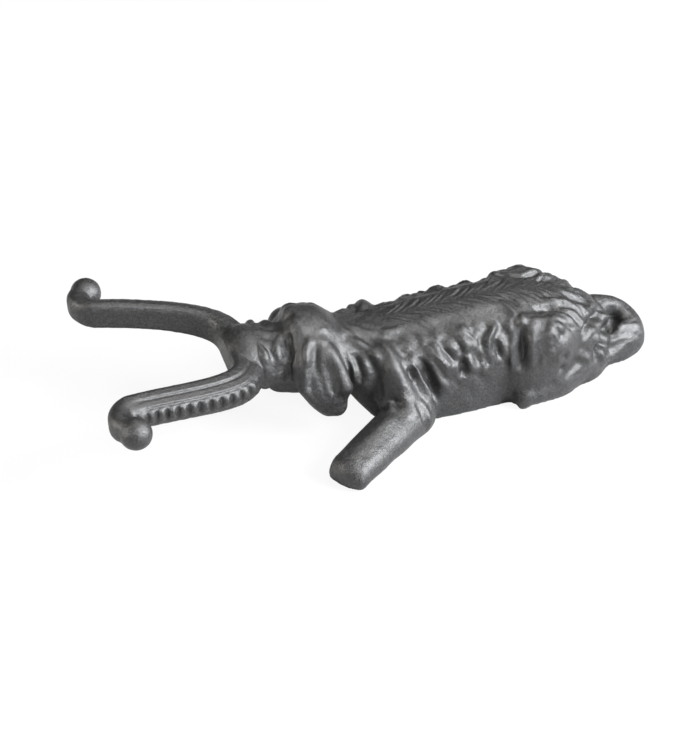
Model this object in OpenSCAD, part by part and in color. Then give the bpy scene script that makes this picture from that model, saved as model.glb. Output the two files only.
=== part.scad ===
// Cast iron boot jack: a long-eared dog lies on the floor and holds a forked yoke in its mouth.
// One foot stands on the dog's broad back while the fork grips the heel of the other boot.
// X runs from the fork's tips to the tail, Y is across, and Z is up from the floor.
// The origin is on the floor, below the middle of the casting.

/* [Yoke] */
// From the throat of the fork to the front of its hooks
yoke_reach = 73; // [64:0.5:84]
// Clear width between the arms at their ends
heel_gap = 82; // [74:1:92]
// Straight width across the bottom of the throat
throat_w = 30; // [24:1:34]
// Width of the bar that the fork is made of
arm_w = 13; // [11:0.5:15]
// Height of the bar
arm_h = 15; // [12:0.5:17]
// Height of the bar's middle above the floor, at the throat
arm_z = 40.5; // [37:0.5:44]
// How far the arms rise from the throat to the hooks
arm_rise = 8.5; // [0:0.5:12]
// Radius of the hook at the end of an arm, to the middle of the bar
hook_r = 8.5; // [8:0.5:12]
// How far a hook turns outwards, in degrees
hook_turn = 125; // [110:5:155]
// Diameter of the ball at the end of a hook
knob_d = 16.4; // [14:0.2:18]
// Number of beads along the outside of an arm
bead_count = 12; // [6:1:14]
// Height of a bead
bead_h = 5; // [4:0.5:7]
// Length of a bead along the arm
bead_l = 3.6; // [2.6:0.2:4]
// How far a bead stands out of the arm
bead_out = 1; // [0.6:0.1:1.6]

/* [Head] */
// From the yoke to the step below the forehead
muzzle_len = 16; // [14:1:22]
// Width across the lips, where they grip the yoke
lip_w = 38; // [34:1:42]
// Width of the muzzle behind the lips
muzzle_w = 32; // [28:1:36]
// Top of the muzzle above the floor
muzzle_top = 51; // [48:0.5:54]
// Underside of the jaw above the floor
jaw_z = 19; // [15:0.5:26]
// From the forehead's step to the nape
skull_len = 30; // [26:1:38]
// Width of the skull without the ears
skull_w = 40; // [36:1:44]
// Top of the skull above the floor
skull_top = 60; // [56:0.5:66]
// Length of an ear from front to back
ear_l = 34; // [28:1:38]
// Thickness of an ear's locks
ear_t = 11; // [9:0.5:14]
// How far the tips of the ears hang above the floor
ear_tip_z = 11; // [8:0.5:18]

/* [Body] */
// From the nape to the withers
neck_len = 20; // [16:1:28]
// From the withers to the loin
torso_len = 74; // [66:1:90]
// Greatest width of the trunk
torso_w = 63; // [56:1:70]
// Greatest height of the back above the floor
torso_h = 53.5; // [49:0.5:58]
// From the loin to the dock of the tail
rump_len = 56; // [50:1:64]
// Thickness of the casting over its hollow underside
wall = 5; // [4:0.5:7]
// Length of one lock of the wavy coat
lock_pitch = 11; // [8:0.5:14]
// Depth of the wavy coat
lock_depth = 2; // [0.5:0.1:2.6]

/* [Legs and tail] */
// Width of a foreleg
foreleg_w = 24.5; // [21:0.5:27]
// Height of a foreleg at the elbow
foreleg_h = 21; // [18:0.5:25]
// From the elbow to the tips of the toes
foreleg_len = 66; // [58:1:74]
// Angle between a foreleg and the length of the dog
foreleg_splay = 40; // [35:1:45]
// Length of a forepaw
forepaw_len = 19; // [15:0.5:22]
// Length of a thigh
thigh_l = 42; // [36:1:46]
// Height of a thigh
thigh_h = 52; // [48:0.5:58]
// How far a thigh stands out of the rump
thigh_out = 9; // [6:0.5:12]
// Height of a hind foot
hind_foot_h = 15; // [12:0.5:18]
// Length of a hind paw
hind_paw_len = 15; // [12:0.5:19]
// From the dock to the end of the tail's curl
tail_reach = 24; // [21:0.5:28]
// Thickness of the tail's brush
tail_w = 17; // [14:0.5:20]

/* [Hidden] */
paint = "#4a4a4c";

// The fork's bar is stouter at the throat, as a share of its size
root_size = 1.12;

// Stations along the length, from the hooks to the tail
length = yoke_reach + root_size * arm_w + muzzle_len + skull_len + neck_len
    + torso_len + rump_len + tail_reach;
front_x = -length / 2;
throat_x = front_x + yoke_reach;
lips_x = throat_x + root_size * arm_w;
stop_x = lips_x + muzzle_len;
nape_x = stop_x + skull_len;
withers_x = nape_x + neck_len;
loin_x = withers_x + torso_len;
dock_x = loin_x + rump_len;
back_x = dock_x + tail_reach;

// How much of a section lies below the floor, where the casting stands flat
sunk = -18;

// Half width, top, bottom and squareness of the dog's body at stations along its length
body_table = [
    [lips_x, [0.97 * lip_w / 2, muzzle_top + 1, jaw_z + 6, 3.4]],
    [lips_x + 3, [lip_w / 2, muzzle_top + 1, jaw_z + 5, 3.4]],
    [lips_x + 0.32 * muzzle_len, [1.06 * muzzle_w / 2, muzzle_top, jaw_z + 4, 2.6]],
    [lips_x + 0.60 * muzzle_len, [muzzle_w / 2, muzzle_top, jaw_z + 1, 2.5]],
    [stop_x, [1.08 * muzzle_w / 2, muzzle_top + 2.5, jaw_z, 2.5]],
    [stop_x + 0.18 * skull_len, [0.96 * skull_w / 2, skull_top - 1, jaw_z - 1, 2.4]],
    [stop_x + 0.40 * skull_len, [skull_w / 2, skull_top, jaw_z - 1, 2.3]],
    [stop_x + 0.65 * skull_len, [skull_w / 2, skull_top - 1, jaw_z - 1, 2.3]],
    [nape_x - 0.15 * skull_len, [1.02 * skull_w / 2, skull_top - 5, jaw_z - 1, 2.3]],
    [nape_x, [0.76 * torso_w / 2, 0.96 * torso_h, 0.8 * jaw_z, 2.3]],
    [nape_x + 0.35 * neck_len, [0.87 * torso_w / 2, 0.91 * torso_h, 0.3 * jaw_z, 2.4]],
    [nape_x + 0.70 * neck_len, [0.92 * torso_w / 2, 0.89 * torso_h, 0.2 * sunk, 2.5]],
    [withers_x, [0.94 * torso_w / 2, 0.89 * torso_h, 0.6 * sunk, 2.6]],
    [withers_x + 0.15 * torso_len, [0.97 * torso_w / 2, 0.91 * torso_h, sunk, 2.8]],
    [withers_x + 0.32 * torso_len, [torso_w / 2, 0.94 * torso_h, sunk, 3]],
    [withers_x + 0.53 * torso_len, [0.98 * torso_w / 2, 0.97 * torso_h, sunk, 3.1]],
    [withers_x + 0.75 * torso_len, [0.93 * torso_w / 2, torso_h, sunk, 3.1]],
    [loin_x, [0.88 * torso_w / 2, torso_h, sunk, 3]],
    [loin_x + 0.20 * rump_len, [0.88 * torso_w / 2, 0.98 * torso_h, sunk, 2.8]],
    [loin_x + 0.40 * rump_len, [0.86 * torso_w / 2, 0.94 * torso_h, sunk, 2.7]],
    [loin_x + 0.60 * rump_len, [0.80 * torso_w / 2, 0.87 * torso_h, sunk, 2.5]],
    [loin_x + 0.77 * rump_len, [0.69 * torso_w / 2, 0.77 * torso_h, sunk, 2.4]],
    [loin_x + 0.91 * rump_len, [0.50 * torso_w / 2, 0.66 * torso_h, sunk, 2.2]],
    [dock_x, [0.32 * torso_w / 2, 0.55 * torso_h, sunk, 2]]
];

// Swellings and hollows on the body: place along it, angle from the top of the section,
// spread along, spread around and height
features = [
    [stop_x + 5, 24, 4, 14, 1.6],       // brows
    [stop_x - 1, 34, 3, 10, -2.2],    // eye sockets
    [stop_x - 5, 62, 6, 20, 1.4],     // cheeks
    [stop_x + 2, 0, 3, 9, -1.4],      // step between the eyes
    [lips_x + 3, 0, 3, 12, 1.6],      // nose
    [nape_x - 1, 0, 4, 60, -1.6],     // hollow behind the skull
    [withers_x - 1, 62, 6, 16, 2.2],  // shoulder blades
    [loin_x - 5, 75, 5, 26, -2.4]     // crease before the thigh
];

// Locks that stand out of the coat: place along the body, angle from the top of the section, lean
// from the spine, then half length and half width in lock lengths and height in coat depths
locks = [
    [withers_x + 0.33 * torso_len, 62, 41, 0.82, 0.24, 0.65],
    [withers_x + 0.38 * torso_len, 45, 31, 0.55, 0.22, 0.6],
    [withers_x + 0.57 * torso_len, 47, 35, 0.64, 0.29, 0.75],
    [withers_x + 0.62 * torso_len, 76, 90, 0.73, 0.2, 0.5],
    [withers_x + 0.76 * torso_len, 45, 143, 0.45, 0.24, 0.75],
    [withers_x + 0.75 * torso_len, 73, 66, 0.73, 0.22, 0.65],
    [withers_x + 0.88 * torso_len, 62, 75, 0.82, 0.18, 0.45],
    [loin_x + 0.55 * rump_len, 32, 38, 0.73, 0.24, 0.75],
    [loin_x + 0.66 * rump_len, 52, 85, 0.55, 0.22, 0.6]
];

coat_slant = 0.45;
back_edge = 38;
flank_edge = 80;
step = lock_pitch / 3.3;
coat_step = lock_pitch / 3.9;
around = 26;

// Value at x of a smooth curve through a table of [place, value] rows
function row(t, x) = max([0, for (i = [1 : len(t) - 2]) if (x >= t[i][0]) i]);
function slope(t, i) =
    let (a = max(i - 1, 0), b = min(i + 1, len(t) - 1))
    (t[b][1] - t[a][1]) / (t[b][0] - t[a][0]);
function curve(t, x) =
    let (i = row(t, x), h = t[i + 1][0] - t[i][0], u = (x - t[i][0]) / h)
    t[i][1] * (1 - u) * (1 - u) * (1 + 2 * u)
    + t[i + 1][1] * u * u * (3 - 2 * u)
    + (slope(t, i) * (1 - u) - slope(t, i + 1) * u) * h * u * (1 - u);

// Height at u of rounded crests with sharp furrows between them
function crests(u) = abs(sin(180 * u)) - 0.6;

// Bell of height 1 that fades over a spread of s
function bell(d, s) = exp(-(d * d) / (s * s));

// Smooth step from 0 to 1 while x goes from a to b
function ramp(a, b, x) =
    let (u = min(1, max(0, (x - a) / (b - a))))
    u * u * (3 - 2 * u);

// Height of the wavy coat, where side is the angle from the top of the section
function coat(x, side) =
    let (
        wave = (x - coat_slant * side) / lock_pitch + 0.16 * sin(7 * side + 9 * x),
        flank = ramp(back_edge - 12, back_edge + 10, side) * (1 - ramp(84, 108, side)),
        back = 0.35 * ramp(3, 14, side) * (1 - flank),
        haunch = ramp(loin_x - 4, loin_x + 4, x) * ramp(50, 62, side),
        ends = ramp(nape_x - 2, nape_x + 6, x) * (1 - ramp(dock_x - 10, dock_x, x))
    )
    lock_depth * ends * (1 - haunch) * crests(wave) * max(flank, back);

// Height of the standing locks
function lock_relief(x, side) =
    let (arc = PI / 360 * torso_w)
    [
        for (l = locks)
        let (
            d = [x - l[0], arc * (side - l[1])],
            along = d * [cos(l[2]), sin(l[2])],
            across = d * [-sin(l[2]), cos(l[2])]
        )
        lock_depth * l[5] * bell(along, l[3] * lock_pitch) * bell(across, l[4] * lock_pitch)
    ]
    * [for (l = locks) 1];

function relief(x, side) =
    coat(x, side) + lock_relief(x, side)
    + [for (f = features) f[4] * bell(x - f[0], f[2]) * bell(side - f[1], f[3])]
    * [for (f = features) 1];

// Angle from the top of the section at its point k, closer together on the flank of the trunk
function spread(k, low, x) =
    let (
        half = around / 2,
        j = abs(k - half),
        even = j * (90 + low) / half,
        back = 9 * min(j, 2),
        flank = (flank_edge - 18) / 8 * min(max(j - 2, 0), 8),
        belly = (90 + low - flank_edge) / (half - 10) * max(j - 10, 0)
    )
    even + (back + flank + belly - even) * ramp(nape_x, withers_x, x);

// Section of the body at x, from the floor on one side over the top to the floor on the other
function section(x, inset = 0, bumps = 1) =
    let (
        s = curve(body_table, x),
        a = s[0] - inset,
        top = s[1] - inset,
        mid = (top + s[2]) / 2,
        h = (top - s[2]) / 2,
        n = s[3],
        foot = a * pow(max(0, 1 - pow(max(mid, 0) / h, n)), 1 / n),
        low = min(84, atan2(mid, foot))
    )
    [
        for (k = [0 : around])
        let (
            angle = 90 + sign(k - around / 2) * spread(k, low, x),
            r = pow(pow(abs(cos(angle)) / a, n) + pow(abs(sin(angle)) / h, n), -1 / n)
                + bumps * relief(x, abs(angle - 90))
        )
        [x, r * cos(angle), max(mid + r * sin(angle), -inset)]
    ];

// Triangles between rings of n corners, from ring 0 to ring last
function side_faces(n, last) =
    [
        for (j = [0 : last - 1], k = [0 : n - 1])
        let (a = j * n + k, b = j * n + (k + 1) % n, c = b + n, d = a + n)
        each [[a, d, c], [a, c, b]]
    ];

// Closed solid through rings that all have the same number of corners
module skin(rings) {
    n = len(rings[0]);
    last = len(rings) - 1;
    ends = [for (ring = [rings[0], rings[last]]) [for (p = ring) 1] * ring / n];
    points = concat([for (ring = rings) each ring], ends);
    caps = [
        for (k = [0 : n - 1])
        let (m = (k + 1) % n)
        each [[n * (last + 1), k, m], [n * (last + 1) + 1, last * n + m, last * n + k]]
    ];
    polyhedron(points, concat(side_faces(n, last), caps));
}

// Stations between two ends, close enough for the coat
function stations(from, to) =
    let (count = max(3, round((to - from) / (from < withers_x ? step : coat_step))))
    [for (i = [0 : count]) from + (to - from) * i / count];

// Solid length of the body between two ends
module body(from, to) {
    skin([for (x = stations(from, to)) section(x)]);
}

// Height of the hollow underside as a share of its full height, rounded off at both ends
function roof(x) =
    sqrt(ramp(withers_x, withers_x + 14, x) * (1 - ramp(dock_x - 26, dock_x - 10, x)));

// Roof of the hollow at x, with a point for every second one of the section over it
function ceiling(x) =
    let (under = section(x, wall + 0.6 * lock_depth, 0), up = roof(x))
    [
        for (k = [around : -2 : 0])
        let (flat = 0.6 * under[0][1] * (1 - 2 * k / around))
        [x, up * under[k][1] + (1 - up) * flat, up * max(0, under[k][2])]
    ];

// Length of the body with the hollow in its underside
module hollow_body(from, to) {
    rings = [for (x = stations(from, to)) concat(section(x), ceiling(x))];
    n = len(rings[0]);
    last = len(rings) - 1;
    end = last * n;
    caps = [
        for (k = [0 : 2 : around - 2])
        let (m = n - 1 - k / 2)
        each [
            [k, k + 1, m], [k + 1, m - 1, m], [k + 1, k + 2, m - 1],
            [end + k + 1, end + k, end + m], [end + m - 1, end + k + 1, end + m],
            [end + k + 2, end + k + 1, end + m - 1]
        ]
    ];
    polyhedron([for (ring = rings) each ring], concat(side_faces(n, last), caps));
}

// Ball of three radii
module ball(centre, radii, facets = 12) {
    translate(centre) scale(radii) sphere(r = 1, $fn = facets);
}

// Limb through a list of [centre, radii] balls
module limb(balls, facets = 12) {
    for (i = [0 : len(balls) - 2]) {
        hull() {
            ball(balls[i][0], balls[i][1], facets);
            ball(balls[i + 1][0], balls[i + 1][1], facets);
        }
    }
}

// Limb of count steps along a table of [share of the way, [centre, radii]] rows
module smooth_limb(table, count, facets = 12) {
    centres = [for (r = table) [r[0], r[1][0]]];
    radii = [for (r = table) [r[0], r[1][1]]];
    limb([for (i = [0 : count]) [curve(centres, i / count), curve(radii, i / count)]], facets);
}

// The dog's right side is drawn, at +Y, and the left side mirrors it
module right() {
    children();
}

module left() {
    mirror([0, 1, 0]) children();
}

// The fork's bar: outward and upward shares of its size, going round from the inner foot
bar_section = [
    [-0.50, -0.38], [-0.50, 0.28], [-0.42, 0.45], [-0.26, 0.50], [0.02, 0.44], [0.10, 0.37],
    [0.38, 0.28], [0.50, 0.12], [0.50, -0.34], [0.38, -0.50], [-0.36, -0.50]
];
bar_x = throat_x + root_size * arm_w / 2;
hook_start_y = heel_gap / 2 + arm_w / 2;
arm_lean = 12;
hook_mid = [
    front_x + arm_w / 2 + hook_r,
    hook_start_y + hook_r * cos(arm_lean)
];
hook_start = hook_mid - hook_r * [sin(arm_lean), cos(arm_lean)];
arm_handles = [
    [bar_x, throat_w / 2],
    [bar_x, throat_w / 2 + 0.7 * (hook_start_y - throat_w / 2)],
    hook_start + 0.48 * (bar_x - hook_start[0]) * [cos(arm_lean), -sin(arm_lean)],
    hook_start
];
hook_taper = 0.94;
knob_seat = 0.28 * knob_d;

// Point at t on the curve of the arm, seen from above
function arm_point(t, h = arm_handles) =
    pow(1 - t, 3) * h[0] + 3 * t * pow(1 - t, 2) * h[1]
    + 3 * t * t * (1 - t) * h[2] + pow(t, 3) * h[3];
function arm_height(t) = arm_z + arm_rise * ramp(0, 1.1, t);
function arm_size(t) = 1 + (root_size - 1) * (1 - ramp(0, 0.8, t));

// Direction of the arm at t, in degrees from +X
function arm_heading(t) =
    let (d = arm_point(min(1, t + 0.01)) - arm_point(max(0, t - 0.01)))
    t <= 0 ? 90 : t >= 1 ? 180 - arm_lean : atan2(d[1], d[0]);

// Ring of the bar, round being 0 for its own section and 1 for a round one
function bar_ring(p, z, heading, size, round = 0) =
    [for (c = bar_section)
        let (q = c * (1 - round) + c / norm(c) / 2 * round)
        [
            p[0] + q[0] * arm_w * size * sin(heading),
            p[1] - q[0] * arm_w * size * cos(heading),
            z + q[1] * arm_h * size
        ]
    ];

// Heading and middle of the hook at u, from its start to its end
function hook_heading(u) = 180 - arm_lean - hook_turn * u;
function hook_point(u) = hook_mid + hook_r * [-sin(hook_heading(u)), cos(hook_heading(u))];
function hook_size(u) = 1 - (1 - hook_taper) * ramp(0.6, 1, u);

module arm_bar() {
    arm_steps = 12;
    hook_steps = 7;
    skin(concat(
        [for (i = [0 : arm_steps])
            let (t = i / arm_steps)
            bar_ring(arm_point(t), arm_height(t), arm_heading(t), arm_size(t))
        ],
        [for (i = [1 : hook_steps])
            let (u = i / hook_steps)
            bar_ring(hook_point(u), arm_height(1), hook_heading(u), hook_size(u), ramp(-0.2, 0.6, u))
        ]
    ));
}

// Beads along the outer face of the arm, evenly spaced
module arm_beads() {
    for (i = [0 : bead_count - 1]) {
        u = 0.2 + 0.76 * i / (bead_count - 1);
        t = u * (1.25 - 0.25 * u);
        translate([each arm_point(t), arm_height(t) - 0.08 * arm_h])
            rotate(arm_heading(t))
                translate([0, -arm_w * arm_size(t) / 2, 0])
                    scale([bead_l / 2, bead_out, bead_l / 2])
                        hull() {
                            for (z = [-1, 1])
                                translate([0, 0, z * (bead_h / bead_l - 1)]) sphere(r = 1, $fn = 6);
                        }
    }
}

module arm() {
    color(paint) {
        arm_bar();
        arm_beads();
    }
}

knob_heading = hook_heading(1);
knob_mid = [each hook_point(1) + knob_seat * [cos(knob_heading), sin(knob_heading)], arm_height(1)];

module knob() {
    color(paint) difference() {
        translate(knob_mid) sphere(d = knob_d, $fn = 40);
        translate(knob_mid) rotate(knob_heading)
            translate([-knob_seat - knob_d, -knob_d, -knob_d])
                cube([knob_d, 2 * knob_d, 2 * knob_d]);
    }
}

module bridge() {
    color(paint) skin([
        for (y = [-1, 1]) bar_ring([bar_x, y * throat_w / 2], arm_z, 90, arm_size(0))
    ]);
}

// The dog's body and the ground that it lies on in one skin, for fitting the limbs to them
function bed_ring(x, ring) =
    let (foot = ring[0][1])
    [
        [x, length, -length], [x, length, 0], [x, foot, 0],
        for (k = [1 : len(ring) - 2]) ring[k],
        [x, -foot, 0], [x, -length, 0], [x, -length, -length]
    ];
function bare_ground(x, ring) = bed_ring(x, [for (p = ring) [x, p[1], 0]]);

module bed() {
    ends = [lips_x, stop_x, nape_x, withers_x, loin_x, dock_x];
    places = [for (i = [0 : len(ends) - 2]) each stations(ends[i], ends[i + 1])];
    front = section(lips_x);
    back = section(dock_x);
    skin([
        bare_ground(-length, front),
        bare_ground(lips_x, front),
        for (k = [0 : len(places) - 1])
        if (k == 0 || places[k] > places[k - 1] + 0.01) bed_ring(places[k], section(places[k])),
        bare_ground(dock_x, back),
        bare_ground(length, back)
    ]);
}

// Ear: a broad flap from the side of the skull, with locks that fan out down it
ear_x = stop_x + 0.44 * skull_len;
module ear_form() {
    root = [ear_x, 0.41 * skull_w, skull_top - 11];
    drop = root[2] - ear_tip_z - 6;
    smooth_limb([
        [0, [root, [0.26 * ear_l, 0.4 * ear_t, 5]]],
        [0.35, [root + [0, 0.4 * ear_t, -0.3 * drop], [0.42 * ear_l, 0.5 * ear_t, 8]]],
        [0.7, [root + [0.06 * ear_l, 0.76 * ear_t, -0.65 * drop], [0.38 * ear_l, 0.48 * ear_t, 8]]],
        [1, [root + [0.18 * ear_l, 0.9 * ear_t, -drop], [0.22 * ear_l, 0.38 * ear_t, 6]]]
    ], 6, 12);
    for (f = [-0.48 : 0.24 : 0.5]) {
        limb([
            [root + [0.5 * ear_l * f, 0.6 * ear_t, -0.16 * drop], [1.8, 1.8, 1.8]],
            [root + [(0.06 + 0.66 * f) * ear_l, 1.12 * ear_t, -0.6 * drop], [2.2, 2, 2]],
            [root + [(0.2 + 0.34 * f) * ear_l, 1.15 * ear_t, -drop], [1.6, 1.8, 1.8]]
        ], 6);
    }
}

module ear() {
    color(paint) difference() {
        ear_form();
        bed();
    }
}

// Foreleg: the shoulder comes down the side of the chest and the forearm lies on the floor
elbow = [withers_x + 11, 0.525 * torso_w, 0];
module shoulder_form() {
    smooth_limb([
        [0, [[withers_x - 1, 0.31 * torso_w, 0.68 * torso_h], foreleg_w * [0.53, 0.33, 0.37]]],
        [0.4, [[withers_x + 2, 0.42 * torso_w, 0.52 * torso_h], foreleg_w * [0.53, 0.29, 0.45]]],
        [
            1,
            [
                elbow + [0, 0, 0.42 * foreleg_h],
                [0.5 * foreleg_w, 0.48 * foreleg_w, 0.58 * foreleg_h]
            ]
        ]
    ], 4);
}

module on_foreleg() {
    translate(elbow) rotate(180 - foreleg_splay) children();
}

module forearm_form() {
    half_w = foreleg_w / 2;
    on_foreleg() smooth_limb([
        [0, [[0, 0, 0.42 * foreleg_h], [half_w, half_w, 0.58 * foreleg_h]]],
        [0.5, [[0.4 * foreleg_len, 0, 0.4 * foreleg_h], [half_w, 0.94 * half_w, 0.5 * foreleg_h]]],
        [0.8, [[0.7 * foreleg_len, 0, 0.36 * foreleg_h], [half_w, 0.92 * half_w, 0.45 * foreleg_h]]],
        [
            1,
            [
                [foreleg_len - 0.8 * half_w, 0, 0.3 * foreleg_h],
                [0.8 * half_w, 0.92 * half_w, 0.44 * foreleg_h]
            ]
        ]
    ], 5);
}

module toes(reach, across, height, count) {
    for (k = [0 : count - 1]) {
        side = (k - (count - 1) / 2) / count;
        r = 0.62 * across / count;
        limb([
            [[reach - 2.2 * r - 3 * abs(side), across * side, 0.5 * height], [r, r, 0.5 * height]],
            [[reach - r - 5 * abs(side), across * side, 0.32 * height], [r, r, 0.4 * height]]
        ], 8);
    }
}

// Half-space past the wrist
module past_wrist() {
    on_foreleg()
        translate([foreleg_len - forepaw_len, -length, -length])
            cube([length, 2 * length, 2 * length]);
}

module foreleg() {
    color(paint) difference() {
        union() {
            shoulder_form();
            forearm_form();
        }
        bed();
        past_wrist();
    }
}

module forepaw() {
    color(paint) difference() {
        intersection() {
            union() {
                forearm_form();
                on_foreleg() toes(foreleg_len, 0.86 * foreleg_w, 0.64 * foreleg_h, 4);
            }
            past_wrist();
        }
        bed();
    }
}

// Thigh folded flat against the rump, with the hock behind it on the floor
thigh_x = loin_x + 9;
thigh_y = section(thigh_x)[0][1];
module thigh_form() {
    translate([thigh_x, thigh_y, 0]) scale([thigh_l, thigh_out, thigh_h]) hull() {
        ball([0.34, -0.78, 0.6], [0.3, 1, 0.35], 14);
        ball([0.1, -0.33, 0.54], [0.42, 1.22, 0.44], 14);
        ball([-0.14, -0.44, 0.62], [0.3, 1, 0.37], 14);
        ball([-0.06, -0.11, 0.4], [0.4, 1.11, 0.38], 14);
    }
    thigh_locks();
}

// Curved locks of hair on the thigh, one inside the other
module thigh_locks() {
    for (k = [0 : 2]) {
        r = thigh_l * (0.4 - 0.11 * k);
        limb([
            for (a = [100 : 25 : 175])
            [
                [
                    thigh_x + 0.12 * thigh_l + r * cos(a),
                    thigh_y + thigh_out * (0.53 + 0.12 * k),
                    0.5 * thigh_h + 1.05 * r * sin(a)
                ],
                lock_depth * [0.9, 1.1, 0.9]
            ]
        ], 6);
    }
}

module hock_form() {
    h = hind_foot_h;
    smooth_limb([
        [0, [[thigh_x + 0.64 * thigh_l, thigh_y - 0.9 * thigh_out, 0.75 * h], h * [0.6, 0.47, 0.8]]],
        [0.5, [[thigh_x + 0.36 * thigh_l, thigh_y - 0.1 * thigh_out, 0.5 * h], h * [0.6, 0.47, 0.6]]],
        [1, [[thigh_x + 0.07 * thigh_l, thigh_y + 0.2 * thigh_out, 0.45 * h], h * [0.6, 0.47, 0.55]]]
    ], 4, 10);
}

module thigh_forms() {
    thigh_form();
    hock_form();
}

module hind_paw_form() {
    h = hind_foot_h;
    translate([thigh_x - 0.02 * thigh_l, thigh_y + 0.2 * thigh_out, 0]) rotate(180) {
        smooth_limb([
            [0, [[0, 0, 0.45 * h], h * [0.47, 0.53, 0.55]]],
            [1, [[0.55 * hind_paw_len, 0, 0.4 * h], h * [0.4, 0.53, 0.5]]]
        ], 4, 10);
        toes(hind_paw_len, 1.06 * h, 0.8 * h, 3);
    }
}

module thigh() {
    color(paint) difference() {
        thigh_forms();
        bed();
    }
}

module hind_paw() {
    color(paint) difference() {
        hind_paw_form();
        bed();
        thigh_forms();
    }
}

// Tail: a brush of hair that curls round the end of the body from right to left
module tail_form() {
    r = tail_w / 2;
    smooth_limb([
        [0, [[dock_x - 3, 1.4 * r, 2.6 * r], r * [1, 1, 1.2]]],
        [0.25, [[dock_x + 0.38 * tail_reach, 1.4 * r, 2.1 * r], r * [1, 0.9, 1.3]]],
        [0.5, [[back_x - r, 0.6 * r, 1.5 * r], r * [1, 1, 1.3]]],
        [0.7, [[back_x - 1.2 * r, -0.35 * r, 1.2 * r], r * [1, 0.8, 1.3]]],
        [0.85, [[dock_x + 2, -0.7 * r, 1.05 * r], r * [1, 0.7, 1.2]]],
        [1, [[dock_x - 0.5 * tail_reach, -1.2 * r, 0.95 * r], r * [0.6, 0.5, 0.95]]]
    ], 9, 12);
    ball([dock_x + 0.22 * tail_reach, 0.25 * r, 0.9 * r], r * [1.6, 1.25, 1.3], 14);
}

module tail() {
    color(paint) difference() {
        tail_form();
        bed();
        right() thigh_forms();
        left() thigh_forms();
    }
}

module muzzle() {
    color(paint) body(lips_x, stop_x);
}

module head() {
    color(paint) body(stop_x, nape_x);
}

module neck() {
    color(paint) body(nape_x, withers_x);
}

module torso() {
    color(paint) hollow_body(withers_x, loin_x);
}

module rump() {
    color(paint) hollow_body(loin_x, dock_x);
}

bridge();
left() arm();  // left_arm
right() arm();  // right_arm
left() knob();  // left_knob
right() knob();  // right_knob
muzzle();
head();
left() ear();  // left_ear
right() ear();  // right_ear
neck();
torso();
rump();
tail();
left() foreleg();  // left_foreleg
right() foreleg();  // right_foreleg
left() forepaw();  // left_forepaw
right() forepaw();  // right_forepaw
left() thigh();  // left_thigh
right() thigh();  // right_thigh
left() hind_paw();  // left_hind_paw
right() hind_paw();  // right_hind_paw
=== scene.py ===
# Cast iron boot jack: a long-eared dog with a beaded fork in its mouth.
import math
import bpy
import numpy as np
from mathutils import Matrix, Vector
from mathutils.kdtree import KDTree


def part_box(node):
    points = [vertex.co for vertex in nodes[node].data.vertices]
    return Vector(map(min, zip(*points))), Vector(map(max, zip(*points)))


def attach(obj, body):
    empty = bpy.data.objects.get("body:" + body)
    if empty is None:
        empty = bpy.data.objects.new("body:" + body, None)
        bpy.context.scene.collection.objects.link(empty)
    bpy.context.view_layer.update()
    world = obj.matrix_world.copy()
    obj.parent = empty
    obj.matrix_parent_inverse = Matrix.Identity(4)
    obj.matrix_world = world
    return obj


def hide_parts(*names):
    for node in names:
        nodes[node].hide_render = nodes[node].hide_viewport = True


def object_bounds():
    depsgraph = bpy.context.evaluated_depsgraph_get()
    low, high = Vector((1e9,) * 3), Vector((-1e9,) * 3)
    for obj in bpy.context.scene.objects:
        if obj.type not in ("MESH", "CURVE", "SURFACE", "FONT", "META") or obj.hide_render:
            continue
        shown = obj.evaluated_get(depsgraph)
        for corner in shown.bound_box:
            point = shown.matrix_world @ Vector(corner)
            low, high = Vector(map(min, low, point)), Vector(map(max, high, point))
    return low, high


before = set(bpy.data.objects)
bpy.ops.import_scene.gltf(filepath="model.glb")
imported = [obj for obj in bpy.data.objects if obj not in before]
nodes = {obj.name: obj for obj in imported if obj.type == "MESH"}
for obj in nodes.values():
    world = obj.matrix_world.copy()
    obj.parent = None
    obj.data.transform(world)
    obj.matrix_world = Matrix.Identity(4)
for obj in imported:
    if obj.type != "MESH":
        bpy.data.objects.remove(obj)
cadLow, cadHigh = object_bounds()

mm = 0.001


def pick(*objects):
    bpy.ops.object.select_all(action="DESELECT")
    for o in objects:
        o.select_set(True)
    bpy.context.view_layer.objects.active = objects[0]


def applyAll(o):
    pick(o)
    for modifier in list(o.modifiers):
        bpy.ops.object.modifier_apply(modifier=modifier.name)


# The raw casting: the regions grown into one skin
casting = {
    "voxel": 0.72,   # mm, how fine the skin is
    "overlap": 0.35,                        # mm, so that neighbouring regions melt into one
    "shell": 1.6,                           # mm, thickness of a finished piece
    "soften": 7.6,                          # how far the solids' facets are rounded off
    "settle": 5,                            # how far the carved locks are rounded off
    "floor": 0.6,                           # mm, below this the skin stands on the floor
    "slack": 0.5,                           # mm, the most that a lock may pass the solids' box
}
fork = {
    "gap": 82,        # mm between the ends of the arms
    "width": 13,      # mm, the bar's width and height
    "height": 15,
    "low": 40.5,      # mm, the bar's middle above the floor at the throat
    "rise": 8.5,      # mm that the arms rise towards the hooks
    "root": 1.12,     # how much thicker the bar is at the throat
    "lean": 12,       # degrees that the arms' ends spread
    "hook": 8.5,      # mm, radius of a hook
    "beads": 12,
    "ticks": 13,      # short scratches across the top of an arm
}


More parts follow.
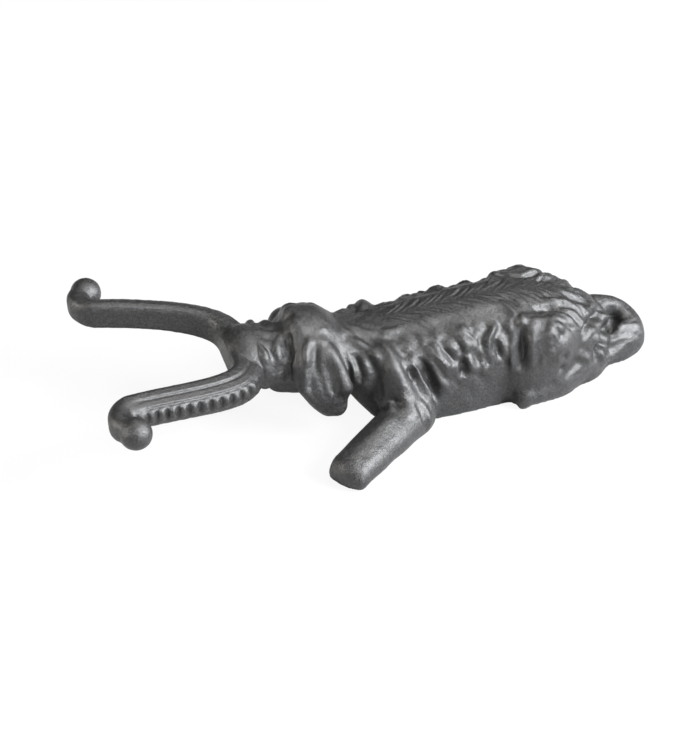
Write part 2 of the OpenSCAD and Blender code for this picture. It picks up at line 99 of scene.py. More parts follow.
def copyNode(name):
    o = nodes[name].copy()
    o.data = nodes[name].data.copy()
    o.animation_data_clear()
    for key in list(o.keys()):
        del o[key]
    o.parent = None
    o.name = name + "Raw"
    bpy.context.scene.collection.objects.link(o)
    pick(o)
    bpy.ops.object.mode_set(mode="EDIT")
    bpy.ops.mesh.select_all(action="SELECT")
    bpy.ops.mesh.remove_doubles(threshold=0.00001)
    bpy.ops.object.mode_set(mode="OBJECT")
    return o


def readVertices(mesh):
    co = np.empty(len(mesh.vertices) * 3, np.float32)
    mesh.vertices.foreach_get("co", co)
    return co.reshape(-1, 3).astype(float) / mm


def readNormals(mesh):
    n = np.empty(len(mesh.vertices) * 3, np.float32)
    mesh.vertex_normals.foreach_get("vector", n)
    return n.reshape(-1, 3).astype(float)


def writeVertices(mesh, points):
    mesh.vertices.foreach_set("co", (points * mm).astype(np.float32).ravel())
    mesh.update()


def surfaceSamples(mesh, spacing):
    # points spread over every face, to tell which region a place on the skin belongs to
    points = readVertices(mesh)
    mesh.calc_loop_triangles()
    corners = np.array([t.vertices[:] for t in mesh.loop_triangles])
    a, b, c = points[corners[:, 0]], points[corners[:, 1]], points[corners[:, 2]]
    area = np.linalg.norm(np.cross(b - a, c - a), axis=1) / 2
    count = np.maximum(1, np.ceil(area / spacing ** 2)).astype(int)
    which = np.repeat(np.arange(len(area)), count)
    rng = np.random.default_rng(7)
    u, v = rng.random(len(which)), rng.random(len(which))
    over = u + v > 1
    u[over], v[over] = 1 - u[over], 1 - v[over]
    return a[which] + u[:, None] * (b - a)[which] + v[:, None] * (c - a)[which]


names = sorted(nodes)
raws = [copyNode(name) for name in names]
samples = [surfaceSamples(o.data, 1.3) for o in raws]
for o in raws:
    grow = o.modifiers.new("grow", "DISPLACE")
    grow.strength = casting["overlap"] * mm
    grow.mid_level = 0
    applyAll(o)
pick(*raws)
bpy.ops.object.join()
skin = bpy.context.view_layer.objects.active
skin.data.remesh_voxel_size = casting["voxel"] * mm
skin.data.remesh_voxel_adaptivity = 0
bpy.ops.object.voxel_remesh()
print("casting: raw skin of", len(skin.data.vertices), "points")

points = readVertices(skin.data)
edges = np.empty(len(skin.data.edges) * 2, np.int64)
skin.data.edges.foreach_get("vertices", edges)
edges = edges.reshape(-1, 2)
ends = np.concatenate([edges[:, 0], edges[:, 1]])
others = np.concatenate([edges[:, 1], edges[:, 0]])
valence = np.bincount(ends, minlength=len(points))[:, None]


def neighbourMean(values):
    sums = [np.bincount(ends, column[others], len(column)) for column in values.T]
    return np.stack(sums, 1) / valence


def smoothed(values, rounds, factor):
    for _ in range(rounds):
        values = values + factor * (neighbourMean(values) - values)
    return values


# which region each point of the skin belongs to
tree = KDTree(sum(len(s) for s in samples))
owner = np.repeat(np.arange(len(names)), [len(s) for s in samples])
for i, p in enumerate(np.concatenate(samples)):
    tree.insert(p, i)
tree.balance()
region = owner[np.array([tree.find(p)[1] for p in points])]
trunk = ["muzzle", "head", "neck", "torso", "rump"]
trunkIds = [names.index(n) for n in trunk]
planes = [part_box(n)[1].x / mm for n in trunk[:-1]]
onTrunk = np.isin(region, trunkIds)
region[onTrunk] = np.array(trunkIds)[np.searchsorted(planes, points[onTrunk, 0])]
# ragged borders between the regions are evened out
share = np.eye(len(names), dtype=np.float32)[region]
region = smoothed(share, 5, 1).argmax(1)
print("casting: regions told apart")


def inRegion(*wanted):
    return np.isin(region, [names.index(n) for n in wanted])


def softMask(*wanted, extra=True, rounds=10):
    # 1 inside some regions and 0 outside, with a soft border
    return smoothed((inRegion(*wanted) & extra).astype(float)[:, None], rounds, 1)


# the solids' facets are rounded off, less on the fork's bar and more on the forelegs
rounds = round(casting["soften"] / casting["voxel"] ** 2)
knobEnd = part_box("left_knob")[1].x / mm + 1
hooks = (points[:, 0] < knobEnd) & (np.abs(points[:, 1]) > fork["gap"] / 2 + 5)
bar = softMask("bridge", "left_arm", "right_arm", "left_knob", "right_knob", extra=~hooks, rounds=8)
limbs = softMask("left_foreleg", "right_foreleg", "left_forepaw", "right_forepaw")
soft = smoothed(points, rounds, 0.5)
crisp = smoothed(points, rounds // 4, 0.5)
points = soft + bar * (crisp - soft)
points = points + limbs * (smoothed(points, 3 * rounds, 0.5) - points)
writeVertices(skin.data, points)
normals = readNormals(skin.data)
floorPoints = points[:, 2] < casting["floor"]


# Carving: ridges and furrows raise or lower the skin along its normals
carving = {
    "depth": 1.2,   # how strongly all locks stand out
    "hair": 0.12,   # mm, fine hair on the flanks
    "axis": 22,     # mm above the floor, the middle of the round sheet
    "arc": 0.52,    # mm on the skin for one degree round the trunk
}
order = np.argsort(points[:, 0])
sortedX = points[order, 0]
lift = np.zeros(len(points))
x, y, z = points.T
side = np.degrees(np.arctan2(np.abs(y), z - carving["axis"]))


def near(path, reach):
    low, high = path.min(0) - reach, path.max(0) + reach
    k = order[np.searchsorted(sortedX, low[0]):np.searchsorted(sortedX, high[0])]
    p = points[k]
    inside = ((p[:, 1:] > low[1:]) & (p[:, 1:] < high[1:])).all(1)
    return k[inside]


def stroke(path, width, depth, taper=0.25):
    # a rounded ridge (depth above 0) or furrow along a path, fading at its ends
    k = near(path, 3 * width)
    if len(k) == 0:
        return
    p = points[k]
    best = np.full(len(k), np.inf)
    along = np.zeros(len(k))
    length = np.concatenate([[0], np.cumsum(np.linalg.norm(np.diff(path, axis=0), axis=1))])
    for i in range(len(path) - 1):
        d = path[i + 1] - path[i]
        t = np.clip((p - path[i]) @ d / max(d @ d, 1e-9), 0, 1)
        gap = ((p - path[i] - t[:, None] * d) ** 2).sum(1)
        closer = gap < best
        best[closer] = gap[closer]
        along[closer] = length[i] + t[closer] * np.linalg.norm(d)
    end = max(taper * length[-1], 1e-6)
    fade = np.clip(np.minimum(along, length[-1] - along) / end, 0, 1) if taper else 1
    r = np.sqrt(best) / width
    shape = np.exp(-r * r) - 0.25 * np.exp(-((r - 2) / 0.7) ** 2)
    lift[k] += carving["depth"] * min(0.75 + 0.25 * width, 1.35) * depth * np.sqrt(fade) * shape


def step(a, b, v):
    u = np.clip((v - a) / (b - a), 0, 1)
    return u * u * (3 - 2 * u)


def noise(p, size, seed):
    # smooth waves in crossing directions, from -1 to 1
    rng = np.random.default_rng(seed)
    total = np.zeros(len(p))
    for _ in range(9):
        d = rng.normal(size=3)
        d *= 2 * math.pi / size / np.linalg.norm(d) * rng.uniform(0.7, 1.4)
        total += np.sin(p @ d + rng.uniform(0, 6.28))
    return total / 4.2


# flat drawings of the surface: round is x and the way round the trunk, side is x and z, top is x and y
sheets = {
    "round": lambda: np.stack([x, carving["arc"] * side], 1),
    "side": lambda: np.stack([x, z], 1),
    "top": lambda: np.stack([x, y], 1),
}


def sheet(kind, pieces, way):
    # the outward points of some pieces, laid flat for looking places up
    out = {"round": normals[:, 1] * y + normals[:, 2] * (z - carving["axis"]),
           "side": normals[:, 1] * y, "top": normals[:, 2]}[kind]
    k = np.flatnonzero(inRegion(*pieces) & (out > 0) & (y * way >= -1 if way else True))
    flat = sheets[kind]()[k]
    tree = KDTree(len(k))
    for i, (a, b) in enumerate(flat):
        tree.insert((a, b, 0), k[i])
    tree.balance()
    return tree


def draw(kind, pieces, rows, ways=(-1, 1)):
    # each row: place on the sheet, heading, length, how far it curls, half width and height
    scale = carving["arc"] if kind == "round" else 1
    for way in ways:
        tree = sheet(kind, pieces, way)
        for a, b, heading, length, curl, width, height in rows:
            count = max(4, round(length / 1.5))
            turn = np.radians(heading + curl * np.linspace(0, 1, count))
            along = a + np.cumsum(np.cos(turn)) * length / count
            across = b * scale + np.cumsum(np.sin(turn)) * length / count
            path = points[[tree.find((u, v, 0))[1] for u, v in zip(along, across)]]
            path[1:-1] = (path[:-2] + 2 * path[1:-1] + path[2:]) / 4
            stroke(path, width, height)


# locks on the trunk, as the photograph shows them:
# x, degrees from the spine, heading, length, curl, half width, height
coat = ["neck", "torso", "rump", "left_thigh", "right_thigh", "left_foreleg", "right_foreleg"]
flank = [
    (21, 45, 63, 20, -16, 2.8, 1.6), (30, 42, 57, 11, -4, 1.8, 1.3), (27, 51, 46, 13, 2, 1.5, -1.5),
    (15, 55, 69, 29, 4, 2.4, -1.7), (42, 32, 128, 16, -111, 3.2, 1.2), (42, 60, 104, 14, -96, 2.4, 1.3),
    (37, 63, 60, 12, 50, 2.0, -1.6), (50, 46, 80, 17, 3, 1.6, -1.7), (62, 37, 149, 30, -76, 1.8, 1.7),
    (60, 49, 74, 14, -3, 1.2, 1.3), (57, 52, 69, 12, 15, 1.4, -1.4), (69, 30, 105, 11, 10, 1.4, 1.2),
    (64, 15, 37, 14, 50, 1.2, 1.1), (67, 9, 30, 12, 38, 1.2, -1.2), (48, 77, 62, 7, 0, 1.4, 0.9),
    (24, 78, 50, 16, 16, 1.2, 0.8), (32, 82, 55, 9, 0, 1.0, -0.8), (34, 60, 60, 10, 20, 1.4, 0.9),
    (36, 48, 60, 8, 20, 1.2, -1.2), (22, 60, 60, 16, 0, 1.0, -0.9), (19, 40, 50, 12, 10, 1.4, -1.0),
    (53, 60, 80, 12, 0, 0.9, 0.8), (65, 58, 82, 14, 0, 0.9, 0.8), (17, 72, 72, 12, 0, 1.0, 0.6),
]
shoulder = [
    (-3, 27, 76, 38, -4, 3.8, 1.7), (9, 53, 62, 26, 10, 2.4, 1.6), (6, 37, 55, 9, 0, 2.0, 1.0),
    (10, 63, 87, 8, -19, 1.5, -1.9), (5, 55, 80, 12, -10, 1.0, -0.9), (-2, 26, -7, 13, 10, 2.0, 1.0),
    (2, 37, 39, 8, 0, 0.8, -0.8), (4, 78, 62, 8, 0, 0.9, -0.9), (-8, 49, 98, 24, -23, 3.4, -2.0),
    (12, 88, 60, 12, 10, 1.4, 1.0), (9, 90, 60, 12, 10, 1.0, -1.0),
]
neck = [
    (-21, 26, 12, 27, 84, 2.2, 1.7), (-18, 40, 78, 20, 3, 2.2, -2.1), (-20, 45, 80, 22, 2, 1.0, 1.0),
    (-29, 4, 33, 15, 33, 0.6, 0.6), (-26, 1, 41, 22, 10, 0.6, 0.6), (-23, 2, 36, 18, 14, 0.6, -0.5),
    (-17, 3, 34, 18, 14, 0.6, 0.6), (-13, 3, 34, 16, 14, 0.6, -0.5), (-9, 2, 30, 16, 10, 0.6, 0.6),
]
haunch = [
    (80, 33, 139, 9, -30, 1.8, -0.9), (73, 42, 105, 24, -20, 2.6, -2.7), (84, 48, 20, 10, 20, 6.5, 1.2),
    (87, 49, 45, 9, -3, 1.1, -1.4), (89, 44, 22, 13, 13, 0.9, -1.1), (81, 32, -15, 31, 81, 1.5, -1.9),
    (90, 21, -1, 29, 61, 2.4, 1.7),
    (93, 72, 72, 5, 0, 1.6, -1.5), (93, 87, 75, 5, 0, 2.0, -1.4), (100, 80, 36, 22, 22, 1.8, 1.1),
    (99, 105, 20, 12, 0, 0.6, -0.6), (88, 104, 5, 8, 0, 2.6, 0.8), (80, 62, 80, 14, 0, 0.8, 0.4),
]
rump = [
    (86, 15, -6, 40, 97, 1.3, -1.2), (98, 3, 0, 30, 45, 1.6, 1.2), (106, 20, 43, 12, 0, 0.8, -0.7),
    (100, 10, 15, 24, 45, 1.0, -0.8), (112, 14, 30, 14, 30, 1.4, 0.9), (120, 20, 60, 12, 20, 1.2, 0.9),
    (72, 2, 50, 18, 20, 0.7, 0.5), (83, 7, 50, 15, 20, 0.7, 0.5),
]
draw("round", coat, flank + shoulder + neck + haunch + rump)

# the face: eyes, cheeks, nose and the lips that hold the fork
face = [
    (-49, 12, 105, 15, -12, 2.4, -2.0), (-63, 3, 8, 9, 0, 2.0, 0.8), (-66, 17, 25, 12, 69, 0.8, -1.2),
    (-56, 13, 103, 15, -21, 1.8, 0.7), (-60, 45, 45, 10, 0, 3.5, 1.1), (-58, 27, 90, 6, 0, 1.0, -0.8),
    (-71, 20, 88, 19, 0, 1.0, 0.4), (-68, 22, 85, 20, 0, 0.9, -0.9), (-64, 24, 80, 8, 0, 1.6, 0.4),
    (-52, 40, 80, 14, 0, 1.4, 0.9), (-55, 8, 85, 6, 0, 0.5, -0.4), (-46, 0, 90, 8, 0, 3.0, 0.7),
]
draw("round", ["muzzle", "head"], face)
draw("side", ["muzzle", "head"], [(-62, 20, 5, 26, -10, 4.5, 1.6)])

# ears, seen from the side: x, z, heading, and so on
ear = [
    (-39, 56, -127, 14, 40, 1.8, 1.2), (-36, 54, -116, 17, 30, 1.6, -1.3), (-32, 52, -65, 27, -12, 3.2, 1.5),
    (-32, 37, -90, 15, 9, 1.2, -1.0), (-36, 34, -77, 13, 0, 0.5, -0.5), (-28, 38, -77, 18, -13, 1.0, 0.8),
    (-23, 44, -72, 27, -5, 1.0, -1.2), (-35, 57, -17, 6, 0, 1.2, 0.7), (-43, 54, -100, 20, 5, 1.6, 0.9),
    (-41, 50, -100, 18, 10, 0.9, -0.8), (-40, 38, -80, 14, 15, 0.7, 0.5), (-38, 44, -88, 16, 10, 0.6, -0.6),
    (-30, 30, -85, 10, 15, 0.7, -0.6), (-25, 36, -85, 14, -10, 0.7, 0.6), (-33, 26, -80, 10, 20, 0.6, 0.5),
    (-32, 14, 0, 8, 0, 2.6, 0.9),
]
draw("side", ["left_ear", "right_ear", "head"], ear)

# the tail, seen from above, curls to one side
tail = [
    (104, -27, 42, 34, 12, 2.4, -2.2), (138, 9, -114, 38, -20, 3.0, -2.4), (112, -23, 31, 30, -18, 2.6, 1.2),
    (147, -1, -162, 44, -5, 2.0, 1.4), (111, -24, 24, 20, 15, 0.8, -1.0),
    (116, -20, 37, 22, -21, 0.6, -0.7), (127, -10, 11, 21, -8, 0.6, -0.7), (137, -9, 2, 13, 11, 0.6, -0.6),
    (139, -4, 6, 11, 18, 0.7, -0.8), (117, -22, 38, 12, 0, 1.6, -1.2), (124, -15, 20, 22, -10, 0.7, 0.6),
    (130, -15, 10, 16, 0, 0.6, -0.5), (133, -6, 8, 16, 4, 0.7, 0.6), (142, 9, -40, 12, 0, 0.7, -0.6),
]
draw("top", ["tail", "rump", "left_thigh"], tail, ways=(0,))

# forelegs and paws, seen from above
paw = [
    (-2, -46, -142, 30, 0, 3.0, 1.0), (-22, -72, 150, 7, 0, 1.8, -0.8), (-31, -65, -150, 5, 0, 1.4, -0.9),
    (-26, -70, -128, 9, 0, 0.8, -0.6), (2, -44, 100, 8, 30, 1.4, -1.2), (-4, -45, 70, 9, 30, 1.6, 0.9),
]
mirrored = [(a, -b, -turn, length, -curl, width, height) for a, b, turn, length, curl, width, height in paw]
draw("top", ["left_foreleg", "left_forepaw"], paw, ways=(0,))
draw("top", ["right_foreleg", "right_forepaw"], mirrored, ways=(0,))

# the scalloped edge of the coat beside the back
spine = ["neck", "torso", "rump"]
scallops = {"start": 2, "end": 104, "pitch": 7.5, "gap": 3.7, "side": 32}
for start in np.arange(scallops["start"], scallops["end"], scallops["pitch"]):
    ridge = (start, scallops["side"], 40, 9, 40, 2.2, 0.35)
    furrow = (start + scallops["gap"], scallops["side"], 40, 9, 40, 1.2, -0.45)
    draw("round", spine, [ridge, furrow])

# fine hair that follows the locks, and the unevenness of the casting
furry = softMask(*spine)[:, 0]
low = furry * step(34, 52, side) * (1 - step(92, 112, side))
wave = x - 0.45 * side
lift += carving["hair"] * low * np.sin(2 * math.pi * wave / 3.2 + 1.6 * noise(points, 16, 3))
lift += 0.25 * furry * noise(points, 15, 5)
lift += 0.06 * noise(points, 6, 6) + 0.04 * noise(points, 2.5, 8)

# the forelegs are plainer towards the paws, and a little fuller than the solids
lift *= 1 - 0.5 * limbs[:, 0] * step(40, 58, np.abs(y))
lift += 0.4 * limbs[:, 0]

# broad swells and hollows on both sides: x, distance from the middle, z, radius, height
swells = {
    "jaw": (-60, 18, 34, 9, 2.0),
    "cheek": (-55, 12, 50, 5, 0.8),
    "earTop": (-30, 25, 44, 10, 1.0),
    "earBack": (-29, 33, 34, 7, 1.2),
    "earTip": (-35, 32, 22, 9, 1.6),
    "elbow": (14, 40, 8, 9, 0.9),
    "forearm": (-2, 54, 8, 9, 1.2),
    "wrist": (-18, 66, 8, 9, 1.2),
    "toes": (-43, 74, 8, 7, -1.0),
    "belly": (40, 38, 4, 16, 1.2),
    "hipFront": (72, 20, 50, 5, 1.2),
    "hipTop": (85, 22, 52, 8, -2.0),
    "thigh": (93, 36, 34, 9, 2.0),
    "hock": (104, 34, 24, 7, -0.8),
    "hindFoot": (92, 38, 4, 8, -0.8),
    "underThigh": (106, 30, 6, 12, -1.8),
    "dock": (112, 20, 40, 8, 1.2),
}
for a, b, c, radius, height in swells.values():
    away = (x - a) ** 2 + (np.abs(y) - b) ** 2 + (z - c) ** 2
    lift += height * np.exp(-away / radius ** 2)

# the edges of the back lie lower between the shoulders and the loin
alongBack = step(-32, -18, x) * (1 - step(58, 76, x))
lift -= 1.5 * alongBack * step(18, 30, side) * (1 - step(44, 66, side))

# the fork's grooves and beads
lean = math.radians(fork["lean"])
barX = (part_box("bridge")[0].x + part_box("bridge")[1].x) / 2 / mm
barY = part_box("bridge")[1].y / mm
outY = (fork["gap"] + fork["width"]) / 2
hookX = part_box("left_arm")[0].x / mm + fork["width"] / 2 + fork["hook"] * (1 - math.sin(lean))
reach = 0.48 * (barX - hookX)
handles = np.array([
    (barX, barY),
    (barX, barY + 0.7 * (outY - barY)),
    (hookX + reach * math.cos(lean), outY - reach * math.sin(lean)),
    (hookX, outY),
])


def onArm(t, outward, upward):
    # a place on the bar: how far along it, and shares of its width and height from its middle
    weights = np.array([(1 - t) ** 3, 3 * t * (1 - t) ** 2, 3 * t * t * (1 - t), t ** 3])
    slopes = np.array([-(1 - t) ** 2, (1 - t) ** 2 - 2 * t * (1 - t), 2 * t * (1 - t) - t * t, t * t])
    place = weights @ handles
    heading = slopes @ handles
    heading = heading / np.linalg.norm(heading)
    size = 1 + (fork["root"] - 1) * (1 - step(0, 0.8, t))
    rise = fork["low"] + fork["rise"] * step(0, 1.1, t)
    return (place[0] + outward * fork["width"] * size * heading[1],
            place[1] - outward * fork["width"] * size * heading[0],
            rise + upward * fork["height"] * size)


def strokeBoth(path, width, depth, taper):
    for way in (-1, 1):
        stroke(np.array(path) * (1, way, 1), width, depth, taper)


grooves = [((0.07, 0.42), 0.7, -0.9), ((0.43, 0.26), 0.6, -0.7), ((0.5, -0.33), 0.6, -0.6)]
for (outward, upward), width, depth in grooves:
    line = [onArm(t, outward, upward) for t in np.linspace(0.05, 0.98, 24)]
    strokeBoth(line, width, depth, 0.04)
for i in range(fork["beads"]):
    bead = 0.2 + 0.76 * i / (fork["beads"] - 1)
    gap = bead + 0.38 / (fork["beads"] - 1)
    for place, width, depth, tall in ((bead, 1.7, 0.6, 0.13), (gap, 0.6, -1.0, 0.17)):
        t = place * (1.25 - 0.25 * place)
        upright = [onArm(t, 0.5, -0.08 + tall), onArm(t, 0.5, -0.08 - tall)]
        strokeBoth(upright, width, depth, 0)
for t in np.linspace(0.12, 0.95, fork["ticks"]):
    tick = [onArm(t, -0.42, 0.4), onArm(t, -0.2, 0.5), onArm(t, 0.0, 0.46)]
    strokeBoth(tick, 0.5, 0.22, 0.3)

lift[floorPoints] = 0
points = points + lift[:, None] * normals

# the nose hangs over the middle of the fork as a smooth dome
nose = {"centre": (-70, 0, 38), "radii": (14.5, 20, 16)}
flat = (points[:, :2] - nose["centre"][:2]) / nose["radii"][:2]
dome = nose["centre"][2] + nose["radii"][2] * np.sqrt(np.clip(1 - (flat ** 2).sum(1), 0, 1))
under = (normals[:, 2] > -0.2) & (points[:, 2] > nose["centre"][2]) & (points[:, 2] < dome)
points[under, 2] = dome[under]
crown = np.abs(flat).max(1) < 0.2
around = smoothed((under | crown).astype(float)[:, None], 6, 1)
points = points + np.clip(1.6 * around, 0, 1) * (smoothed(points, 8, 0.6) - points)

# the locks settle, and the fork stays crisp
gentle = smoothed(points, round(casting["settle"] / casting["voxel"] ** 2), 0.5)
points = gentle + 0.6 * bar * (points - gentle)
writeVertices(skin.data, points)
normals = readNormals(skin.data)

# herringbone down the back and fine hair come last, so that their lines stay fine
herringbone = {"start": 4, "end": 106, "pitch": 4.4, "heading": 26, "length": 18}
lift[:] = 0
for start in np.arange(herringbone["start"], herringbone["end"], herringbone["pitch"]):
    turn = herringbone["heading"] + 7 * math.sin(2.3 * start)
    length = herringbone["length"] + 5 * math.sin(1.7 * start)
    ridge = (start, 2, turn, length, 28, 0.7, 0.2)
    furrow = (start + herringbone["pitch"] / 2, 2, turn, length, 28, 0.6, -0.22)
    draw("round", spine, [ridge, furrow])
fine = furry * step(4, 14, side) * (1 - step(40, 56, side))
lift += 0.07 * fine * np.sin(2 * math.pi * (x - 1.1 * np.abs(y)) / 2.4 + 1.5 * noise(points, 18, 4))
lift += 0.05 * low * np.sin(2 * math.pi * wave / 2.6 + 2 * noise(points, 16, 9))
lift += 0.03 * noise(points, 2.2, 8)
lift[floorPoints] = 0
points = points + lift[:, None] * normals

# the skin stays on the floor and inside the solids' box
points[:, 2] = np.maximum(points[:, 2], 0)
points[floorPoints & (points[:, 2] < 0.5), 2] = 0
boxLow = np.array(cadLow) / mm
boxHigh = np.array(cadHigh) / mm
points = np.clip(points, boxLow - casting["slack"], boxHigh + casting["slack"])
writeVertices(skin.data, points)
print("casting: carved")


# Material: black paint over sand-cast iron
paint = {
    "colour": (0.003, 0.003, 0.0032, 1),
    "worn": (0.02, 0.0197, 0.0197, 1),
    "roughness": (0.4, 0.54),
    "grain": 900,         # noise scale of the sand's grains
    "pits": 420,          # noise scale of the shallow pits
    "bump": 0.7,
    "bumpHeight": 0.0004,
}


def blackPaint():
    m = bpy.data.materials.new("blackPaintOnCastIron")
    m.use_nodes = True
    tree = m.node_tree
    shader = tree.nodes["Principled BSDF"]
    place = tree.nodes.new("ShaderNodeTexCoord")

    def grain(scale, detail, rough):
        n = tree.nodes.new("ShaderNodeTexNoise")
        n.inputs["Scale"].default_value = scale
        n.inputs["Detail"].default_value = detail
        n.inputs["Roughness"].default_value = rough
        tree.links.new(place.outputs["Object"], n.inputs["Vector"])
        return n.outputs["Fac"]

    def ramp(source, low, high, start, end):
        n = tree.nodes.new("ShaderNodeMapRange")
        n.inputs["From Min"].default_value = start
        n.inputs["From Max"].default_value = end
        n.inputs["To Min"].default_value = low
        n.inputs["To Max"].default_value = high
        tree.links.new(source, n.inputs["Value"])
        return n.outputs["Result"]

    fine = grain(paint["grain"], 6, 0.7)
    coarse = grain(paint["pits"], 4, 0.6)
    mix = tree.nodes.new("ShaderNodeMix")
    mix.data_type = "RGBA"
    mix.inputs["A"].default_value = paint["colour"]
    mix.inputs["B"].default_value = paint["worn"]
    tree.links.new(ramp(fine, 0, 1, 0.42, 0.66), mix.inputs["Factor"])
    tree.links.new(mix.outputs["Result"], shader.inputs["Base Color"])
    tree.links.new(ramp(coarse, *paint["roughness"], 0.3, 0.7), shader.inputs["Roughness"])
    add = tree.nodes.new("ShaderNodeMath")
    add.operation = "ADD"
    tree.links.new(fine, add.inputs[0])
    tree.links.new(coarse, add.inputs[1])
    bump = tree.nodes.new("ShaderNodeBump")
    bump.inputs["Strength"].default_value = paint["bump"]
    bump.inputs["Distance"].default_value = paint["bumpHeight"]
    tree.links.new(add.outputs["Value"], bump.inputs["Height"])
    tree.links.new(bump.outputs["Normal"], shader.inputs["Normal"])
    return m


iron = blackPaint()
skin.data.materials.clear()
skin.data.materials.append(iron)


# One closed piece for each region
skin.data.update()
finalNormals = readNormals(skin.data)
faceCount = len(skin.data.polygons)
starts = np.empty(faceCount, np.int64)
totals = np.empty(faceCount, np.int64)
skin.data.polygons.foreach_get("loop_start", starts)
skin.data.polygons.foreach_get("loop_total", totals)
loopVertices = np.empty(len(skin.data.loops), np.int64)
skin.data.loops.foreach_get("vertex_index", loopVertices)
faceRegion = np.array([region[loopVertices[starts + np.minimum(k, totals - 1)]] for k in range(4)])
faceRegion = np.sort(faceRegion, axis=0)[1]
keep = skin.data.attributes.new("smoothNormal", "FLOAT_VECTOR", "POINT")
keep.data.foreach_set("vector", finalNormals.astype(np.float32).ravel())


def cutOut(name, number):
    # a copy of the skin that keeps the faces of one region
    piece = skin.copy()
    piece.data = skin.data.copy()
    piece.name = name + "Casting"
    bpy.context.scene.collection.objects.link(piece)
    pick(piece)
    bpy.ops.object.mode_set(mode="EDIT")
    bpy.ops.mesh.select_mode(type="FACE")
    bpy.ops.object.mode_set(mode="OBJECT")
    piece.data.polygons.foreach_set("select", faceRegion != number)
    bpy.ops.object.mode_set(mode="EDIT")
    bpy.ops.mesh.delete(type="FACE")
    bpy.ops.object.mode_set(mode="OBJECT")
    return piece


def thicken(piece):
    shell = piece.modifiers.new("shell", "SOLIDIFY")
    shell.thickness = casting["shell"] * mm
    shell.offset = -1
    shell.use_rim = True
    applyAll(piece)
    bpy.ops.object.shade_smooth()


def keepNormals(piece):
    # the outside keeps the whole skin's normals, so that no seam shows
    kept = np.empty(len(piece.data.vertices) * 3, np.float32)
    piece.data.attributes["smoothNormal"].data.foreach_get("vector", kept)
    kept = kept.reshape(-1, 3)
    outer = np.arange(len(kept)) < len(kept) // 2
    own = readNormals(piece.data)
    piece.data.normals_split_custom_set_from_vertices(np.where(outer[:, None], kept, own))
    piece.data.attributes.remove(piece.data.attributes["smoothNormal"])


for number, name in enumerate(names):
    piece = cutOut(name, number)
    thicken(piece)
    keepNormals(piece)
    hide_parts(name)
    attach(piece, "root")
bpy.data.objects.remove(skin)
print("pieces:", len(names))


# Floor, light and camera
studio = {
    "floor": 0.36,    # how pale the floor is to the object
    "glow": 0.9,      # how white the camera sees it
    "world": 0.07,    # how bright the surroundings are to the object
}
middle = (0, 0, 0.03)
lamps = {
    "keyLight": {"place": (1.25, -0.85, 0.9), "aim": middle, "size": (0.9, 0.9),
                 "power": 165, "colour": (0.95, 0.97, 1)},
    "leftLight": {"place": (-1.5, 0.1, 0.5), "aim": middle, "size": (0.7, 0.7),
                  "power": 28, "colour": (1, 0.97, 0.92)},
    "frontLight": {"place": (-0.3, -1.3, 1.3), "aim": middle, "size": (0.5, 0.5),
                   "power": 22, "colour": (1, 1, 1)},
    "topLight": {"place": (0.35, 0.25, 1.4), "aim": (0, 0, 0), "size": (0.9, 0.7),
                 "power": 20, "colour": (1, 0.97, 0.94)},
}
camera = {
    "azimuth": -15.99,
    "elevation": 35.23,
    "distance": 1.25,
    "lens": 113.95,
    "target": (-0.01825, -0.01619, 0.025),
}


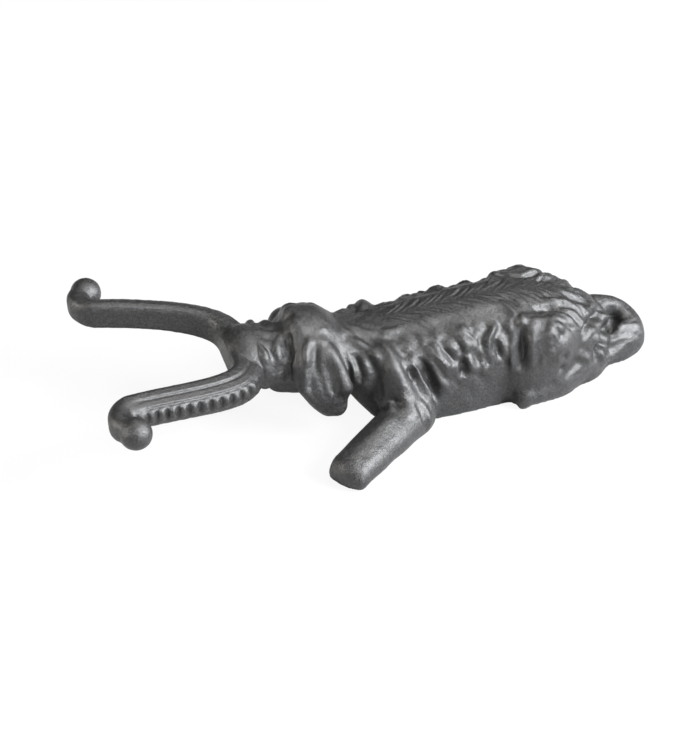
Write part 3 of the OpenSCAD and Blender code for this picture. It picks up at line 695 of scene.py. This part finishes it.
def floorPlane():
    bpy.ops.object.select_all(action="DESELECT")
    bpy.ops.mesh.primitive_plane_add(size=12, location=(0, 0, -0.0002))
    floor = bpy.context.active_object
    floor.name = "studioFloor"
    m = bpy.data.materials.new("paleFloor")
    m.use_nodes = True
    tree = m.node_tree
    shader = tree.nodes["Principled BSDF"]
    shader.inputs["Base Color"].default_value = (studio["floor"],) * 3 + (1,)
    shader.inputs["Roughness"].default_value = 0.9
    shader.inputs["Specular IOR Level"].default_value = 0.1
    glow = tree.nodes.new("ShaderNodeEmission")
    light = tree.nodes.new("ShaderNodeLightPath")
    mix = tree.nodes.new("ShaderNodeMixShader")
    times = tree.nodes.new("ShaderNodeMath")
    times.operation = "MULTIPLY"
    times.inputs[1].default_value = studio["glow"]
    tree.links.new(light.outputs["Is Camera Ray"], times.inputs[0])
    tree.links.new(times.outputs["Value"], mix.inputs["Fac"])
    tree.links.new(shader.outputs["BSDF"], mix.inputs[1])
    tree.links.new(glow.outputs["Emission"], mix.inputs[2])
    tree.links.new(mix.outputs["Shader"], tree.nodes["Material Output"].inputs["Surface"])
    floor.data.materials.append(m)


def softLight(name):
    lamp = bpy.data.lights.new(name, "AREA")
    lamp.shape = "RECTANGLE"
    lamp.size, lamp.size_y = lamps[name]["size"]
    lamp.energy = lamps[name]["power"]
    lamp.color = lamps[name]["colour"]
    away = Vector(lamps[name]["place"]) - Vector(lamps[name]["aim"])
    o = bpy.data.objects.new(name, lamp)
    o.location = lamps[name]["place"]
    o.rotation_euler = away.to_track_quat("Z", "Y").to_euler()
    bpy.context.scene.collection.objects.link(o)


def studioWorld():
    # dim to the object and white to the camera
    world = bpy.data.worlds.new("studioWorld")
    world.use_nodes = True
    tree = world.node_tree
    lightPath = tree.nodes.new("ShaderNodeLightPath")
    brightness = tree.nodes.new("ShaderNodeMapRange")
    brightness.inputs["To Min"].default_value = studio["world"]
    brightness.inputs["To Max"].default_value = 1
    tree.links.new(lightPath.outputs["Is Camera Ray"], brightness.inputs["Value"])
    tree.links.new(brightness.outputs["Result"], tree.nodes["Background"].inputs["Strength"])
    bpy.context.scene.world = world


def photoView():
    azimuth = math.radians(camera["azimuth"])
    elevation = math.radians(camera["elevation"])
    level = math.cos(elevation)
    back = Vector((math.sin(azimuth) * level, -math.cos(azimuth) * level, math.sin(elevation)))
    view = bpy.data.cameras.new("photoView")
    view.lens = camera["lens"]
    viewer = bpy.data.objects.new("photoView", view)
    viewer.location = Vector(camera["target"]) + back * camera["distance"]
    viewer.rotation_euler = back.to_track_quat("Z", "Y").to_euler()
    bpy.context.scene.collection.objects.link(viewer)
    bpy.context.scene.camera = viewer


floorPlane()
for name in lamps:
    softLight(name)
studioWorld()
photoView()
bpy.context.scene.view_settings.view_transform = "Standard"
print("studio: floor, light and camera")
